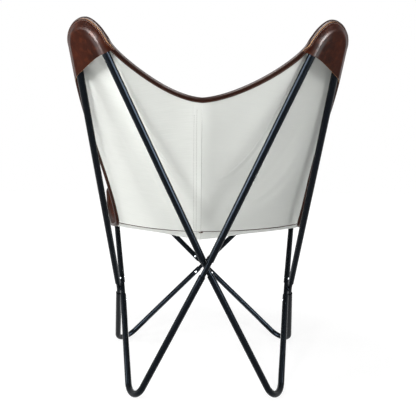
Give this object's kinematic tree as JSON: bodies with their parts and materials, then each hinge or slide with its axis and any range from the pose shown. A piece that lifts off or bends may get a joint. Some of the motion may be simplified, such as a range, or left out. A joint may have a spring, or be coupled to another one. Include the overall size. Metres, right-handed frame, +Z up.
{
  "type": "butterfly sling chair",
  "caption": "Butterfly chair: a canvas-lined leather sling hangs by corner pockets on bent steel tubes joined at crossings, standing on its lower bends.",
  "frame": {"origin": "on the floor, under the middle of the chair's box", "axes": "+Z up, the sitter faces -Y, +X is the sitter's left"},
  "size_m": [0.6262, 0.7466, 0.8639],
  "materials": {
    "black_steel": "black powder coat, satin",
    "zinc": "zinc-plated steel",
    "leather": "waxed brown leather",
    "canvas": "off-white cotton canvas"
  },
  "bodies": {
    "root": {"screw_back_peak_left_side": "zinc", "screw_back_peak_left_middle": "zinc", "back_peak_tube_left": "black_steel", "screw_back_peak_right_side": "zinc", "screw_back_peak_right_middle": "zinc", "back_peak_tube_right": "black_steel", "screw_front_peak_left_side": "zinc", "screw_front_peak_left_middle": "zinc", "front_peak_tube_left": "black_steel", "screw_front_peak_right_side": "zinc", "screw_front_peak_right_middle": "zinc", "front_peak_tube_right": "black_steel", "screw_back_foot_left_side": "zinc", "screw_back_foot_left_middle": "zinc", "back_foot_tube_left": "black_steel", "screw_back_foot_right_side": "zinc", "screw_back_foot_right_middle": "zinc", "back_foot_tube_right": "black_steel", "screw_front_foot_left_side": "zinc", "screw_front_foot_left_middle": "zinc", "front_foot_tube_left": "black_steel", "screw_front_foot_right_side": "zinc", "screw_front_foot_right_middle": "zinc", "front_foot_tube_right": "black_steel", "cross_joint_back": "black_steel", "cross_joint_front": "black_steel", "cross_joint_left": "black_steel", "cross_joint_right": "black_steel", "leather_back_left": "leather", "leather_back_right": "leather", "lining_back_left": "canvas", "lining_back_right": "canvas", "leather_seat_left": "leather", "leather_seat_right": "leather", "lining_seat_left": "canvas", "lining_seat_right": "canvas", "binding_top": "leather", "binding_front": "leather", "binding_left": "leather", "binding_right": "leather", "pocket_back_left": "leather", "pocket_back_right": "leather", "pocket_front_left": "leather", "pocket_front_right": "leather"}
  },
  "joints": []
}
